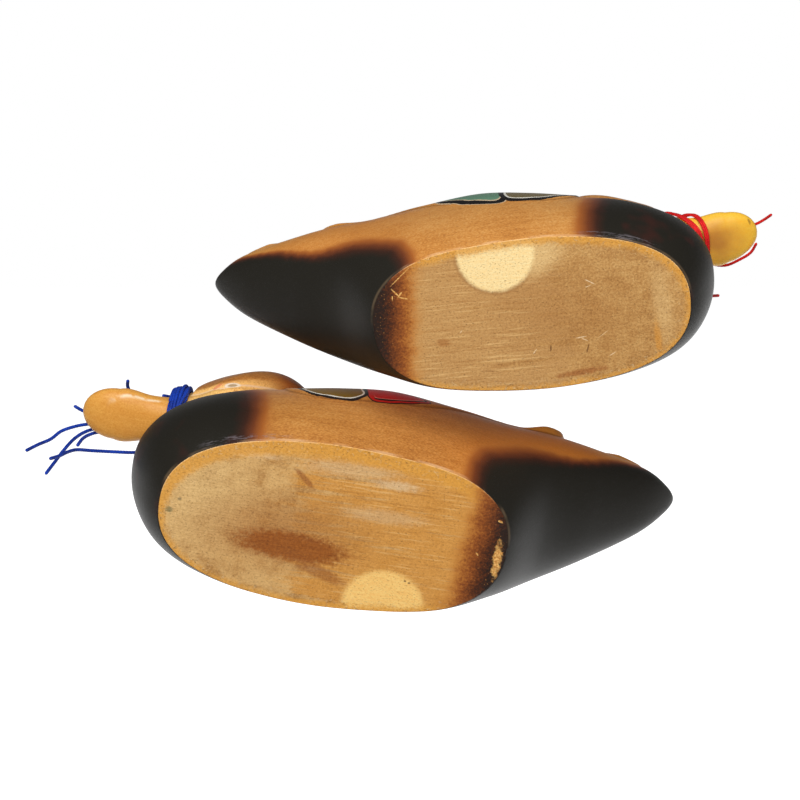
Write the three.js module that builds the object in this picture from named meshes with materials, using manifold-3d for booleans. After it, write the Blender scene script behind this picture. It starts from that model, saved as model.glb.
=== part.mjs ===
// A pair of carved wooden mandarin ducks, each with a thread wound round the root of its bill.
// Millimetres, Z up. Both stand on their flat undersides at z = 0, side by side, heads opposite ways.
// The origin is on the ground, in the middle of the pair.

import * as THREE from "three";
import { mergeVertices } from "three/addons/utils/BufferGeometryUtils.js";
import Module from "manifold-3d";

const wasm = await Module();
wasm.setup();

// Driving dimensions. The shape is drawn for the larger duck, and the smaller one is the same times
// size. shoulder is how much fuller a duck is at the shoulder, head how wide its head is for its size.
const BLUE_DUCK = { size: 1, x: -22.6, y: 26, heading: 189, shoulder: 0, head: 1 };
const RED_DUCK = { size: 0.878, x: 30.29, y: -31.71, heading: -5.4, shoulder: 0.3, head: 0.87 };
const BLUE_THREAD = 1.0; // thickness
const RED_THREAD = 0.8;
const GAP = 0.6; // between the wood and the thread, in the larger duck's millimetres

// Sections of the duck from tail tip to bill tip. Each lies in a plane through a point of the back
// line and a point of the keel line, both [x, z] in the plane of symmetry, x forward from the
// middle of the base. half is its half width, wide is how far down from the back it is widest.
const STATIONS = [
  { back: [-94.5, 49.6], keel: [-94.5, 49.6], half: 0, wide: 0.5 }, // tail tip
  { back: [-92.1, 51.3], keel: [-92.6, 46.1], half: 3.6, wide: 0.5 },
  { back: [-84.5, 51.6], keel: [-85.5, 38.8], half: 9.2, wide: 0.5 },
  { back: [-70, 50.1], keel: [-70.8, 26.2], half: 15.2, wide: 0.51 },
  { back: [-57, 48.8], keel: [-57.5, 14.3], half: 19.4, wide: 0.48 },
  { back: [-44, 48.2], keel: [-45.8, -0.7], half: 21.6, wide: 0.4 }, // rear end of the base
  { back: [-30, 47.6], keel: [-31.3, -11.2], half: 24.7, wide: 0.37 },
  { back: [-14, 47.4], keel: [-12.7, -13.6], half: 27, wide: 0.36 }, // the body is widest here
  { back: [-2, 47.6], keel: [8, -13.8], half: 26.7, wide: 0.42 },
  { back: [4.8, 48.6], keel: [30.2, -8.5], half: 24.8, wide: 0.49 },
  { back: [7.5, 49.8], keel: [46, 3.6], half: 22.2, wide: 0.53 }, // front end of the base
  { back: [8.5, 51.8], keel: [51.6, 21.5], half: 17.5, wide: 0.49 }, // breast
  { back: [8.6, 54.6], keel: [46, 35.8], half: 14.2, wide: 0.4 },
  { back: [7.8, 58], keel: [40, 44], half: 13.5, wide: 0.4 }, // neck
  { back: [7, 61], keel: [38.9, 46], half: 12.4, wide: 0.48 }, // hollow between neck and head
  { back: [4.8, 64.9], keel: [38.3, 47.4], half: 14.1, wide: 0.49 }, // rear end of the crest
  { back: [9.2, 70.7], keel: [38.6, 48.1], half: 14.4, wide: 0.48 },
  { back: [21, 72.4], keel: [39.9, 48.4], half: 11.8, wide: 0.5 }, // crown
  { back: [30.6, 68.5], keel: [41.4, 48.7], half: 9.6, wide: 0.5 }, // forehead
  { back: [36.8, 63.1], keel: [42.6, 49], half: 7.8, wide: 0.5 },
  { back: [43, 59.2], keel: [44.6, 49.3], half: 6.4, wide: 0.5 }, // root of the bill
  { back: [49.5, 57.3], keel: [50.5, 49.5], half: 6.5, wide: 0.5 },
  { back: [58.5, 56.2], keel: [59, 49.8], half: 7.3, wide: 0.5 }, // broad end of the bill
  { back: [67.9, 53.5], keel: [67.9, 53.5], half: 0, wide: 0.5 }, // bill tip
];
const SHOULDER = 10.3; // station where a fuller shoulder is fullest
const SHOULDER_SPREAD = 1.3; // in stations
const HEAD = 16; // station in the middle of the head
const HEAD_SPREAD = 2.6; // in stations
const TAIL_SHARPNESS = 0.6; // 0.5 ends the tail round, 1 ends it in a point
const ROUND_ABOVE = 2.1; // how square a section is above its widest point, 2 is an ellipse
const ROUND_BELOW = 2.3;
const RINGS_PER_STATION = 2;
const TIP_RINGS = [0, 0.03, 0.14, 0.4]; // closer together where a tip is round
const AROUND = 24; // corners in a section

// Carving that stands proud of the body, as outlines [x, z] in side view.
const WING_OUTLINE = [
  [14, 46], [15.5, 38], [14, 28], [9, 22.5], [3, 20.4], [-8, 21.8], [-20, 25], [-30, 31],
  [-41, 36.5], [-51, 38.5], [-59, 40], [-63.5, 43.5], [-62.5, 48.4], [-50, 46.8], [-30, 46.4],
  [0, 46.4],
];
const WING_LIFT = 0.5;
const FLARE = 2.3; // how far the tips of the wings stand out
const FLARE_FROM = -48; // x where a wing begins to stand out more
const FLARE_TO = -57;
const COVERT_OUTLINE = [[-56, 56], [-56, 47], [-67, 46.6], [-77, 45.5], [-84, 48.5], [-82, 56]];
const COVERT_LIFT = 1;
const CREST_OUTLINE = [
  [39, 53.6], [35, 52.6], [31, 52], [28.7, 52.9], [25.6, 53.9], [21.4, 55.4], [18.2, 56.7],
  [12, 59.4], [0, 64], [0, 80], [34, 80], [37.4, 62],
];
const CREST_LIFT = 0.8;

// Bands of thread round the root of the bill. station is where a band crosses the sides of the bill,
// above and below how many stations further back or forward it is on top and underneath. dip is
// how far the turns part along the middle of the band, 0 not at all and 1 down to the wood.
// knot is the angle at which it is tied.
const BLUE_WINDING = { station: 19.75, above: 0, below: -0.8, width: 1.1, height: 3, dip: 0, knot: -0.3 };
const RED_WINDING = { station: 20, above: 0.1, below: 1.4, width: 1, height: 2.2, dip: 0.7, knot: 0.35 };
const KNOT = { height: 1, spread: 0.35 };

// Free ends of the threads, as points along their middle lines, in each duck's own millimetres:
// x forward, y to its left, z up.
const BLUE_ENDS = [
  [[44.8, -1.1, 61.8], [50.5, -1.8, 59], [55, -2.6, 57.9], [60, -3.7, 57.4], [65.4, -5.1, 55.6],
    [68.7, -5.4, 53.6], [72.6, -5.8, 49.5], [74.9, -6.4, 44.5], [77.8, -6, 38.5], [80.2, -5.3, 32]],
  [[44.9, -2.8, 61.5], [50.5, -3.6, 58.7], [55, -4.5, 57.8], [60, -5.6, 57.3], [63.7, -6.6, 56.5],
    [66.1, -6.9, 54.4], [68.9, -6.5, 47], [70.9, -7.2, 40], [72.2, -7.4, 33], [73.8, -7.5, 24]],
  [[44.9, -4.4, 60.9], [50.5, -5.4, 57.9], [55, -6.2, 56.4], [60, -7.1, 55.6], [63.4, -7, 54.6],
    [65.1, -7, 52.6], [66.6, -6.4, 48], [67.6, -6.4, 42.5]],
  [[46, -7.7, 54.8], [49.5, -8.9, 51.5], [52.3, -8.8, 49], [58, -8.2, 46], [63.5, -7, 42],
    [67.5, -5, 36.5], [69.5, -4.1, 32], [70.9, -3.1, 27], [73, -1.7, 21]],
  [[42.1, 0.8, 64.1], [46.5, 2, 62.4], [50.5, 2.6, 59.7], [54.5, 2.7, 58.3], [60, 0.6, 57.9],
    [64, -1.6, 57.3], [67.2, -2.2, 56.5], [70.6, -0.6, 55.6]],
];
const RED_ENDS = [
  [[36.4, 0.9, 55.2], [41, -0.2, 55.1], [44.4, -1, 53.4], [48.4, -1.3, 51.8], [53, -0.7, 51.1],
    [56.8, -0.4, 50.5], [59.5, -1.3, 49.1], [61.5, -2.9, 47.3], [63.4, -5, 45]],
  [[35.6, 1.3, 56.1], [39, 3.6, 55.5], [42, 6, 53.9], [45, 8, 51.4], [48, 8.9, 49.2], [51.1, 9, 48],
    [54.3, 7.7, 47.4], [57.4, 5.6, 46.3], [59, 2.2, 44]],
  [[35.9, 3.6, 55.7], [38.8, 7.8, 54.7], [41, 11.3, 51.7], [42.8, 13.8, 47.5], [44, 14.8, 43],
    [44.8, 14.4, 41], [46.1, 13.1, 37], [47.4, 11.3, 32]],
];
const STEP = 3.8; // between rings of a free end, in thread thicknesses

// Smooth curve through the values of neighbouring stations.
function blend(s, read) {
  const i = Math.min(Math.floor(s), STATIONS.length - 2);
  const t = s - i;
  const pick = (k) => read(STATIONS[Math.min(Math.max(k, 0), STATIONS.length - 1)]);
  const [a, b, c, d] = [pick(i - 1), pick(i), pick(i + 1), pick(i + 2)];
  const [square, cube] = [2 * a - 5 * b + 4 * c - d, 3 * b - a - 3 * c + d];
  return 0.5 * (2 * b + (c - a) * t + square * t ** 2 + cube * t ** 3);
}

// The section at s, a station number that may lie between two stations.
function section(s, duck) {
  const last = STATIONS.length - 1;
  const fromTip = Math.min(s, last - s);
  if (fromTip >= 1) {
    const fuller = duck.shoulder * Math.exp(-(((s - SHOULDER) / SHOULDER_SPREAD) ** 2));
    const slimmer = 1 - (1 - duck.head) * Math.exp(-(((s - HEAD) / HEAD_SPREAD) ** 4));
    return {
      back: new THREE.Vector2(blend(s, (p) => p.back[0]), blend(s, (p) => p.back[1])),
      keel: new THREE.Vector2(blend(s, (p) => p.keel[0]), blend(s, (p) => p.keel[1])),
      half: blend(s, (p) => p.half) * slimmer + fuller,
      wide: blend(s, (p) => p.wide),
    };
  }
  // Within one station of the bill's tip the section grows as a quarter of an ellipse.
  const tip = STATIONS[s < 1 ? 0 : last];
  const next = STATIONS[s < 1 ? 1 : last - 1];
  const grow = s < 1 ? fromTip ** TAIL_SHARPNESS : Math.sqrt(1 - (1 - fromTip) ** 2);
  const back = new THREE.Vector2(...next.back);
  const keel = new THREE.Vector2(...next.keel);
  const nextMiddle = back.clone().add(keel).multiplyScalar(0.5);
  const middle = new THREE.Vector2(...tip.back).lerp(nextMiddle, fromTip);
  return {
    back: back.sub(nextMiddle).multiplyScalar(grow).add(middle),
    keel: keel.sub(nextMiddle).multiplyScalar(grow).add(middle),
    half: next.half * grow,
    wide: next.wide,
  };
}

// A point of the duck's surface, or lift outside it. angle is 0 on the back, 90 degrees on the left.
function skin(duck, s, angle, lift = 0) {
  const { back, keel, half, wide } = section(s, duck);
  const middle = back.clone().lerp(keel, wide);
  const upward = back.clone().sub(keel).normalize();
  const above = Math.cos(angle) >= 0;
  const reach = middle.distanceTo(above ? back : keel);
  const power = 2 / (above ? ROUND_ABOVE : ROUND_BELOW);
  const curve = (value) => Math.sign(value) * Math.abs(value) ** power;
  const normal = new THREE.Vector2(Math.cos(angle) * half, Math.sin(angle) * reach).normalize();
  const along = curve(Math.cos(angle)) * reach + normal.x * lift;
  const across = curve(Math.sin(angle)) * half + normal.y * lift;
  return new THREE.Vector3(middle.x + upward.x * along, across, middle.y + upward.y * along);
}

// A closed skin over the whole duck: a sphere whose rows become the sections.
function wholeSkin(duck, lift) {
  const last = STATIONS.length - 1;
  const rows = [...TIP_RINGS];
  for (let s = 1; s < last - 1; s += 1 / RINGS_PER_STATION) rows.push(s);
  rows.push(last - 1, ...TIP_RINGS.map((t) => last - t).reverse());
  const sphere = new THREE.SphereGeometry(1, AROUND, rows.length - 1);
  const position = sphere.attributes.position;
  for (let i = 0; i < position.count; i += 1) {
    const s = rows[Math.floor(i / (AROUND + 1))];
    const angle = (2 * Math.PI * (i % (AROUND + 1))) / AROUND;
    const out = skin(duck, s, angle, lift(skin(duck, s, angle).x));
    position.setXYZ(i, out.x, out.y, out.z);
  }
  return toSolid(sphere);
}

function toSolid(geometry) {
  geometry.deleteAttribute("normal");
  geometry.deleteAttribute("uv");
  const merged = mergeVertices(geometry, 1e-4);
  return new wasm.Manifold(
    new wasm.Mesh({
      numProp: 3,
      vertProperties: Float32Array.from(merged.attributes.position.array),
      triVerts: Uint32Array.from(merged.index.array),
    }),
  );
}

function toGeometry(solid) {
  const mesh = solid.getMesh();
  const geometry = new THREE.BufferGeometry();
  geometry.setAttribute("position", new THREE.BufferAttribute(mesh.vertProperties, 3));
  geometry.setIndex(new THREE.BufferAttribute(mesh.triVerts, 1));
  geometry.computeVertexNormals();
  return geometry;
}

// A side-view outline [x, z], as wide as the duck and more.
function sidePrism(outline) {
  const width = 80;
  const shape = new THREE.Shape(outline.map(([x, z]) => new THREE.Vector2(x, z)));
  const prism = new THREE.ExtrudeGeometry(shape, { depth: width, bevelEnabled: false });
  prism.rotateX(Math.PI / 2);
  prism.translate(0, width / 2, 0);
  return toSolid(prism);
}

function carveDuck(duck) {
  const aboveGround = new THREE.BoxGeometry(300, 200, 100);
  aboveGround.translate(0, 0, 50);
  const flare = (x) => THREE.MathUtils.smoothstep(-x, -FLARE_FROM, -FLARE_TO);
  const wingLift = (x) => THREE.MathUtils.lerp(WING_LIFT, FLARE, flare(x));
  const wings = wholeSkin(duck, wingLift).intersect(sidePrism(WING_OUTLINE));
  const coverts = wholeSkin(duck, () => COVERT_LIFT).intersect(sidePrism(COVERT_OUTLINE));
  const crest = wholeSkin(duck, () => CREST_LIFT).intersect(sidePrism(CREST_OUTLINE));
  const body = wholeSkin(duck, () => 0).intersect(toSolid(aboveGround));
  return body.add(wings).add(coverts).add(crest);
}

// The outer shape of a band of turns: flat towards the wood and domed outside.
function windBand(duck, { station, above, below, width, height, dip, knot }) {
  const sides = 14;
  const around = 20;
  const band = new THREE.TorusGeometry(1, 0.5, sides, around);
  const position = band.attributes.position;
  for (let i = 0; i < position.count; i += 1) {
    const angle = (-2 * Math.PI * (i % (around + 1))) / around;
    const turn = (2 * Math.PI * Math.floor(i / (around + 1))) / sides;
    const up = Math.cos(angle);
    const s = station - up * (up > 0 ? above : below) + (width / 2) * Math.sin(turn);
    const tied = KNOT.height * Math.exp((Math.cos(angle - knot) - 1) / KNOT.spread ** 2);
    const parted = 1 - dip * Math.exp(-((Math.sin(turn) / 0.3) ** 2));
    const dome = parted * Math.max(0, Math.cos(turn)) ** 0.6;
    const out = skin(duck, s, angle, GAP + dome * (height + tied));
    position.setXYZ(i, out.x, out.y, out.z);
  }
  return toSolid(band);
}

function freeEnd(points, thickness) {
  const path = new THREE.CatmullRomCurve3(points.map((p) => new THREE.Vector3(...p)));
  const sides = 8;
  const corners = Array.from({ length: sides }, (_, k) => {
    const angle = (2 * Math.PI * k) / sides;
    return new THREE.Vector2(Math.cos(angle), Math.sin(angle)).multiplyScalar(thickness / 2);
  });
  const steps = Math.round(path.getLength() / (STEP * thickness));
  return new THREE.ExtrudeGeometry(new THREE.Shape(corners), { steps, extrudePath: path });
}

const wood = new THREE.MeshStandardMaterial({ color: 0xb8793a, roughness: 0.35, metalness: 0 });
const blueThread = new THREE.MeshStandardMaterial({ color: 0x1f3fa8, roughness: 0.8, metalness: 0 });
const redThread = new THREE.MeshStandardMaterial({ color: 0xc41426, roughness: 0.8, metalness: 0 });
const pair = new THREE.Group();

function addPiece(name, geometry, material, { x, y, heading }) {
  const mesh = new THREE.Mesh(geometry, material);
  mesh.name = name;
  mesh.position.set(x, y, 0);
  mesh.rotation.z = THREE.MathUtils.degToRad(heading);
  pair.add(mesh);
}

function addDuck(colour, duck, winding, ends, thread, thickness) {
  const body = toGeometry(carveDuck(duck).scale(duck.size));
  addPiece(`${colour}_thread_duck`, body, wood, duck);
  const wound = toGeometry(windBand(duck, winding).scale(duck.size));
  addPiece(`${colour}_thread_winding`, wound, thread, duck);
  ends.forEach((points, i) => {
    addPiece(`${colour}_thread_end_${i + 1}`, freeEnd(points, thickness), thread, duck);
  });
}

addDuck("blue", BLUE_DUCK, BLUE_WINDING, BLUE_ENDS, blueThread, BLUE_THREAD);
addDuck("red", RED_DUCK, RED_WINDING, RED_ENDS, redThread, RED_THREAD);

export default pair;
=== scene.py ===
# %% [markdown]
# # A pair of wooden mandarin ducks
# Two small carved ducks stand side by side, head to tail. Each is carved from one block of
# pale wood, scorched black on the breast and the tail, painted on the wings and lacquered. A
# thread is wound round the root of each bill, blue on the larger duck and red on the smaller.
# The packed model gives every piece its place, so this lesson starts by loading it. All that
# follows is built in the same frame.

# %% The packed model
import math
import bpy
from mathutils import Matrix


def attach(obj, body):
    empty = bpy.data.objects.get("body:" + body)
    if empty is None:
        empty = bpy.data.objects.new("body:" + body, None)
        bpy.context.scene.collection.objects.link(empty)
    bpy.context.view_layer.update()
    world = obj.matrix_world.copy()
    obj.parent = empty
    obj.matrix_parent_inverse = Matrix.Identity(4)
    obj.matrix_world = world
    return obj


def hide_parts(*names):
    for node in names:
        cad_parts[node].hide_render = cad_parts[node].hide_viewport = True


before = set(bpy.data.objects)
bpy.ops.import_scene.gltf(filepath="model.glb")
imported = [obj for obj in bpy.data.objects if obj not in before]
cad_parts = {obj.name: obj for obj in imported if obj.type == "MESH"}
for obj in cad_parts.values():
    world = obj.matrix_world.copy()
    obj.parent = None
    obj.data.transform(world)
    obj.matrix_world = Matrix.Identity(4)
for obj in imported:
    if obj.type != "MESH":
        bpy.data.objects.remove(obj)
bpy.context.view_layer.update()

from types import SimpleNamespace

import bmesh
import bpy
import numpy as np
from mathutils import Matrix
from numpy.linalg import norm

print("pieces of the model:", ", ".join(sorted(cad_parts)))

# %% [markdown]
# ## The camera
# The photograph looks up at the undersides of the ducks, with the tops of the heads turned
# away. A long lens far off keeps the two ducks nearly free of perspective. The camera could be
# aimed by a constraint, but three plain directions, right, up and back, are easy to check.

# %% The camera
MM = 0.001
TURN = 2 * math.pi
LOOK_AT = np.array([-3.83, -8.8, 0.0]) * MM
DISTANCE = 0.7
TILT = math.radians(22.16)
LENS, SENSOR = 126, 36


def placed(name, data):
    """A new object in the scene."""
    made = bpy.data.objects.new(name, data)
    bpy.context.scene.collection.objects.link(made)
    return made


right = np.array([1, 0, 0])
up = np.array([0, -math.cos(TILT), math.sin(TILT)])
back = np.array([0, -math.sin(TILT), -math.cos(TILT)])
camera = placed("camera", bpy.data.cameras.new("camera"))
camera.data.lens, camera.data.sensor_width = LENS, SENSOR
turned = np.column_stack([right, up, back])
camera.matrix_world = Matrix.Translation(LOOK_AT + back * DISTANCE) @ Matrix(turned).to_4x4()
bpy.context.scene.camera = camera
print("camera at", [round(float(c), 3) for c in camera.matrix_world.translation])

# %% [markdown]
# ## Where each duck stands
# Both ducks are carved to one pattern, so one set of measurements serves both, written in the
# larger duck's millimetres with its head along +X. A duck then has a size, a place, a heading
# and the few measures in which it leaves the pattern: a fuller shoulder, a narrower head, a
# bill wider on one side, wing tips that stand out and a tail blackened higher up. `to_room`
# takes points of the pattern to metres in the room, and `table` reads plain rows of numbers.

# %% Two ducks, one pattern
BLUE = SimpleNamespace(
    name="blue_thread", size=1, x=-22.6, y=26, heading=189, thread=1.0, lit_side=1,
    shoulder=0, head=1, bill_side=0, flare=2.3, tail_rise=1.2,
)
RED = SimpleNamespace(
    name="red_thread", size=0.878, x=30.29, y=-31.71, heading=-5.4, thread=0.8, lit_side=-1,
    shoulder=0.3, head=0.87, bill_side=1.9, flare=1.2, tail_rise=-1.0,
)
DUCKS = BLUE, RED


def table(width, text):
    """The numbers in a text, in rows of one width."""
    return np.array(text.split(), float).reshape(-1, width)


def to_room(duck, points, scaled=True):
    points = np.asarray(points, float) * (duck.size if scaled else 1)
    turn = math.radians(duck.heading)
    x = points[..., 0] * math.cos(turn) - points[..., 1] * math.sin(turn) + duck.x
    y = points[..., 0] * math.sin(turn) + points[..., 1] * math.cos(turn) + duck.y
    return np.stack([x, y, points[..., 2]], axis=-1) * MM


for duck in DUCKS:
    print(duck.name, "bill tip at", to_room(duck, [67.9, 0, 53.5]).round(4))

# %% [markdown]
# ## A thread as a mesh
# The thread is a cord of three strands, about a millimetre thick. It could be a curve object
# with a round bevel, but then its twist would be lost. Here rings of points follow the line,
# and the radius of each ring dips at three grooves that turn slowly along the thread. The
# frame of each ring is carried on from the last one, so that the tube never wrings itself.

# %% Lines through points
def line_through(points, per_span=14):
    """A smooth line through the points, with its speed fitted to their distances."""
    ends = 2 * points[0] - points[1], 2 * points[-1] - points[-2]
    points = np.vstack([ends[0], points, ends[1]])
    line = []
    for p0, p1, p2, p3 in zip(points, points[1:], points[2:], points[3:]):
        d0, d1, d2 = (norm(b - a) ** 0.5 for a, b in ((p0, p1), (p1, p2), (p2, p3)))
        start = ((p1 - p0) / d0 - (p2 - p0) / (d0 + d1) + (p2 - p1) / d1) * d1
        end = ((p2 - p1) / d1 - (p3 - p1) / (d1 + d2) + (p3 - p2) / d2) * d1
        for t in np.linspace(0, 1, per_span, endpoint=False):
            line.append(
                p1 + start * t + (3 * (p2 - p1) - 2 * start - end) * t**2
                + (2 * (p1 - p2) + start + end) * t**3
            )
    return np.vstack([line, points[-2]])


def evenly(line, step):
    """The same line, its points a fixed step apart."""
    gone = np.concatenate([[0], np.cumsum(norm(np.diff(line, axis=0), axis=1))])
    marks = np.linspace(0, gone[-1], max(2, round(gone[-1] / step) + 1))
    return np.column_stack([np.interp(marks, gone, line[:, axis]) for axis in range(3)])


# %% A twisted thread
def carried_frames(line):
    """Two directions at right angles to each point of a line."""
    ahead = np.gradient(line, axis=0)
    ahead /= norm(ahead, axis=1, keepdims=True)
    side = np.cross(ahead[0], [0.3, 0.5, 0.8])
    sides = []
    for direction in ahead:
        side = side - direction * np.dot(side, direction)
        side = side / norm(side)
        sides.append(side)
    return np.array(sides), np.cross(ahead, sides)


def thread(line, thickness, step=0.26, pitch=2.6, around=15):
    """Points and faces of a twisted thread, in millimetres."""
    line = evenly(line, step)
    one, two = carried_frames(line)
    along = np.arange(len(line)) * step
    angle = np.linspace(0, TURN, around, endpoint=False)
    turned = angle[None, :] + TURN * along[:, None] / pitch
    strands = 0.84 + 0.16 * np.abs(np.cos(1.5 * angle[None, :])) ** 0.8
    taper = np.minimum(1, np.sqrt(np.minimum(along + 0.1, along[-1] - along + 0.1) / 0.5))
    radius = thickness / 2 * strands * taper[:, None]
    rings = (
        line[:, None] + one[:, None] * (radius * np.cos(turned))[..., None]
        + two[:, None] * (radius * np.sin(turned))[..., None]
    )
    points = np.vstack([rings.reshape(-1, 3), line[:1], line[-1:]])
    faces = []
    for i in range(0, (len(line) - 1) * around, around):
        for k in range(around):
            n = (k + 1) % around
            faces.append((i + k, i + n, i + around + n, i + around + k))
    first, last = len(points) - 2, len(points) - 1
    for k in range(around):
        n = (k + 1) % around
        faces.append((first, n, k))
        faces.append((last, last - 1 - around + k, last - 1 - around + n))
    return points, faces


def make_piece(name, points, faces):
    """A smooth mesh object from points in metres."""
    mesh = bpy.data.meshes.new(name)
    mesh.from_pydata(points.tolist(), [], faces)
    mesh.shade_smooth()
    return placed(name, mesh)


# %% [markdown]
# ## The free ends
# From each winding a few cut ends reach forwards over the bill and droop past its tip: five on
# the blue thread and three on the red. Each is made as a twisted thread, its length is worked
# out and printed, and its route is the one of the packed model, point for point, in the duck's
# own millimetres.

# %% Routes of the blue ends
BLUE_ENDS = [table(3, """
    44.8 -1.1 61.8  50.5 -1.8 59  55 -2.6 57.9  60 -3.7 57.4  65.4 -5.1 55.6  68.7 -5.4 53.6
    72.6 -5.8 49.5  74.9 -6.4 44.5  77.8 -6 38.5  80.2 -5.3 32
"""), table(3, """
    44.9 -2.8 61.5  50.5 -3.6 58.7  55 -4.5 57.8  60 -5.6 57.3  63.7 -6.6 56.5  66.1 -6.9 54.4
    68.9 -6.5 47  70.9 -7.2 40  72.2 -7.4 33  73.8 -7.5 24
"""), table(3, """
    44.9 -4.4 60.9  50.5 -5.4 57.9  55 -6.2 56.4  60 -7.1 55.6  63.4 -7 54.6  65.1 -7 52.6
    66.6 -6.4 48  67.6 -6.4 42.5
"""), table(3, """
    46 -7.7 54.8  49.5 -8.9 51.5  52.3 -8.8 49  58 -8.2 46  63.5 -7 42  67.5 -5 36.5  69.5 -4.1 32
    70.9 -3.1 27  73 -1.7 21
"""), table(3, """
    42.1 0.8 64.1  46.5 2 62.4  50.5 2.6 59.7  54.5 2.7 58.3  60 0.6 57.9  64 -1.6 57.3
    67.2 -2.2 56.5  70.6 -0.6 55.6
""")]

# %% Routes of the red ends
RED_ENDS = [table(3, """
    36.4 0.9 55.2  41 -0.2 55.1  44.4 -1 53.4  48.4 -1.3 51.8  53 -0.7 51.1  56.8 -0.4 50.5
    59.5 -1.3 49.1  61.5 -2.9 47.3  63.4 -5 45
"""), table(3, """
    35.6 1.3 56.1  39 3.6 55.5  42 6 53.9  45 8 51.4  48 8.9 49.2  51.1 9 48  54.3 7.7 47.4
    57.4 5.6 46.3  59 2.2 44
"""), table(3, """
    35.9 3.6 55.7  38.8 7.8 54.7  41 11.3 51.7  42.8 13.8 47.5  44 14.8 43  44.8 14.4 41
    46.1 13.1 37  47.4 11.3 32
""")]

# %% The ends as cords
threads = {"blue_thread": [], "red_thread": []}
for duck, ends in ((BLUE, BLUE_ENDS), (RED, RED_ENDS)):
    for number, route in enumerate(ends, 1):
        line = line_through(route)
        points, faces = thread(line, duck.thread)
        end = make_piece(f"{duck.name}_cut_end_{number}", to_room(duck, points, False), faces)
        path = to_room(duck, evenly(line, 2), False)
        length = float(norm(np.diff(path, axis=0), axis=1).sum())
        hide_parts(f"{duck.name}_end_{number}")
        threads[duck.name].append(end)
        print(end.name, f"{length / MM:.1f} mm along {len(path)} points")

# %% [markdown]
# ## The body from its sections
# A carver saws the side view out of the block first and then rounds it. The mesh is made the
# same way: each section runs from a point of the back line to a point of the keel line, has a
# half width, and says how high up its widest line lies. Smooth curves run from section to
# section, from the tip of the tail, under the body, up the neck and out to the tip of the bill.
# One pattern could be sculpted from a sphere instead, but sections keep every measure in sight.

# %% The sections
# Back x and z, keel x and z, half width, and the widest line as a share of the height.
SECTIONS = table(6, """
    -94.5 49.6 -94.5 49.6 0 0.5  -92.1 51.3 -92.6 46.1 3.6 0.5  -84.5 51.6 -85.5 38.8 9.2 0.5
    -70 50.1 -70.8 26.2 15.2 0.51  -57 48.8 -57.5 14.3 19.4 0.48  -44 48.2 -45.8 -0.7 21.6 0.4
    -30 47.6 -31.3 -11.2 24.7 0.37  -14 47.4 -12.7 -13.6 27 0.36  -2 47.6 8 -13.8 26.7 0.42
    4.8 48.6 30.2 -8.5 24.8 0.49  7.5 49.8 46 3.6 22.2 0.53  8.5 51.8 51.6 21.5 17.5 0.49
    8.6 54.6 46 35.8 14.2 0.4  7.8 58 40 44 13.5 0.4  7 61 38.9 46 12.4 0.48
    4.8 64.9 38.3 47.4 14.1 0.49  9.2 70.7 38.6 48.1 14.4 0.48  21 72.4 39.9 48.4 11.8 0.5
    30.6 68.5 41.4 48.7 9.6 0.5  36.8 63.1 42.6 49 7.8 0.5  43 59.2 44.6 49.3 6.4 0.5
    49.5 57.3 50.5 49.5 6.5 0.5  58.5 56.2 59 49.8 7.3 0.5  67.9 53.5 67.9 53.5 0 0.5
""")
LAST = len(SECTIONS) - 1
SHOULDER, SHOULDER_SPREAD = 10.3, 1.3
HEAD, HEAD_SPREAD = 16, 2.6
TAIL_SHARPNESS = 0.6
ROUND_ABOVE, ROUND_BELOW = 2.1, 2.3
print(len(SECTIONS), "sections")


# %% Any section between them
def spline(p0, p1, p2, p3, t):
    """A smooth curve from p1 to p2, as t goes from 0 to 1. The outer points bend it."""
    return 0.5 * (
        2 * p1 + (p2 - p0) * t + (2 * p0 - 5 * p1 + 4 * p2 - p3) * t**2
        + (3 * p1 - p0 - 3 * p2 + p3) * t**3
    )


def blended(s):
    """The six measures at s."""
    i = np.clip(np.floor(s).astype(int), 0, LAST - 1)
    near = (SECTIONS[np.clip(i + k, 0, LAST)] for k in (-1, 0, 1, 2))
    return spline(*near, (s - i)[:, None])


def sections(s, duck):
    """Back points, keel points, half widths and widest lines. The two tips close smoothly."""
    s = np.asarray(s, float)
    six = blended(s)
    six[:, 4] *= 1 - (1 - duck.head) * np.exp(-(((s - HEAD) / HEAD_SPREAD) ** 4))
    six[:, 4] += duck.shoulder * np.exp(-(((s - SHOULDER) / SHOULDER_SPREAD) ** 2))
    for tip, near, from_tip in ((0, 1, s), (LAST, LAST - 1, LAST - s)):
        at = from_tip < 1
        t = np.maximum(from_tip[at], 0)[:, None]
        grow = t**TAIL_SHARPNESS if tip == 0 else np.sqrt(1 - (1 - t) ** 2)
        ring = SECTIONS[near]
        middle = (ring[0:2] + ring[2:4]) / 2
        moved = SECTIONS[tip][0:2] * (1 - t) + middle * t
        six[at, 0:2] = (ring[0:2] - middle) * grow + moved
        six[at, 2:4] = (ring[2:4] - middle) * grow + moved
        six[at, 4] = ring[4] * grow[:, 0]
        six[at, 5] = ring[5]
    return six


# %% The skin of the duck
ROOT_STARTS, ROOT_ENDS = (43, 50), (54, 67)  # x where the wider root of a bill swells and fades
ROOT_ABOVE = 46.5, 49
OTHER_SIDE = 0.3  # how much of the widening its right side gets


def power(value, exponent):
    return np.sign(value) * np.abs(value) ** exponent


def rise(value, low, high):
    t = np.clip((value - low) / (high - low), 0, 1)
    return t * t * (3 - 2 * t)


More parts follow.
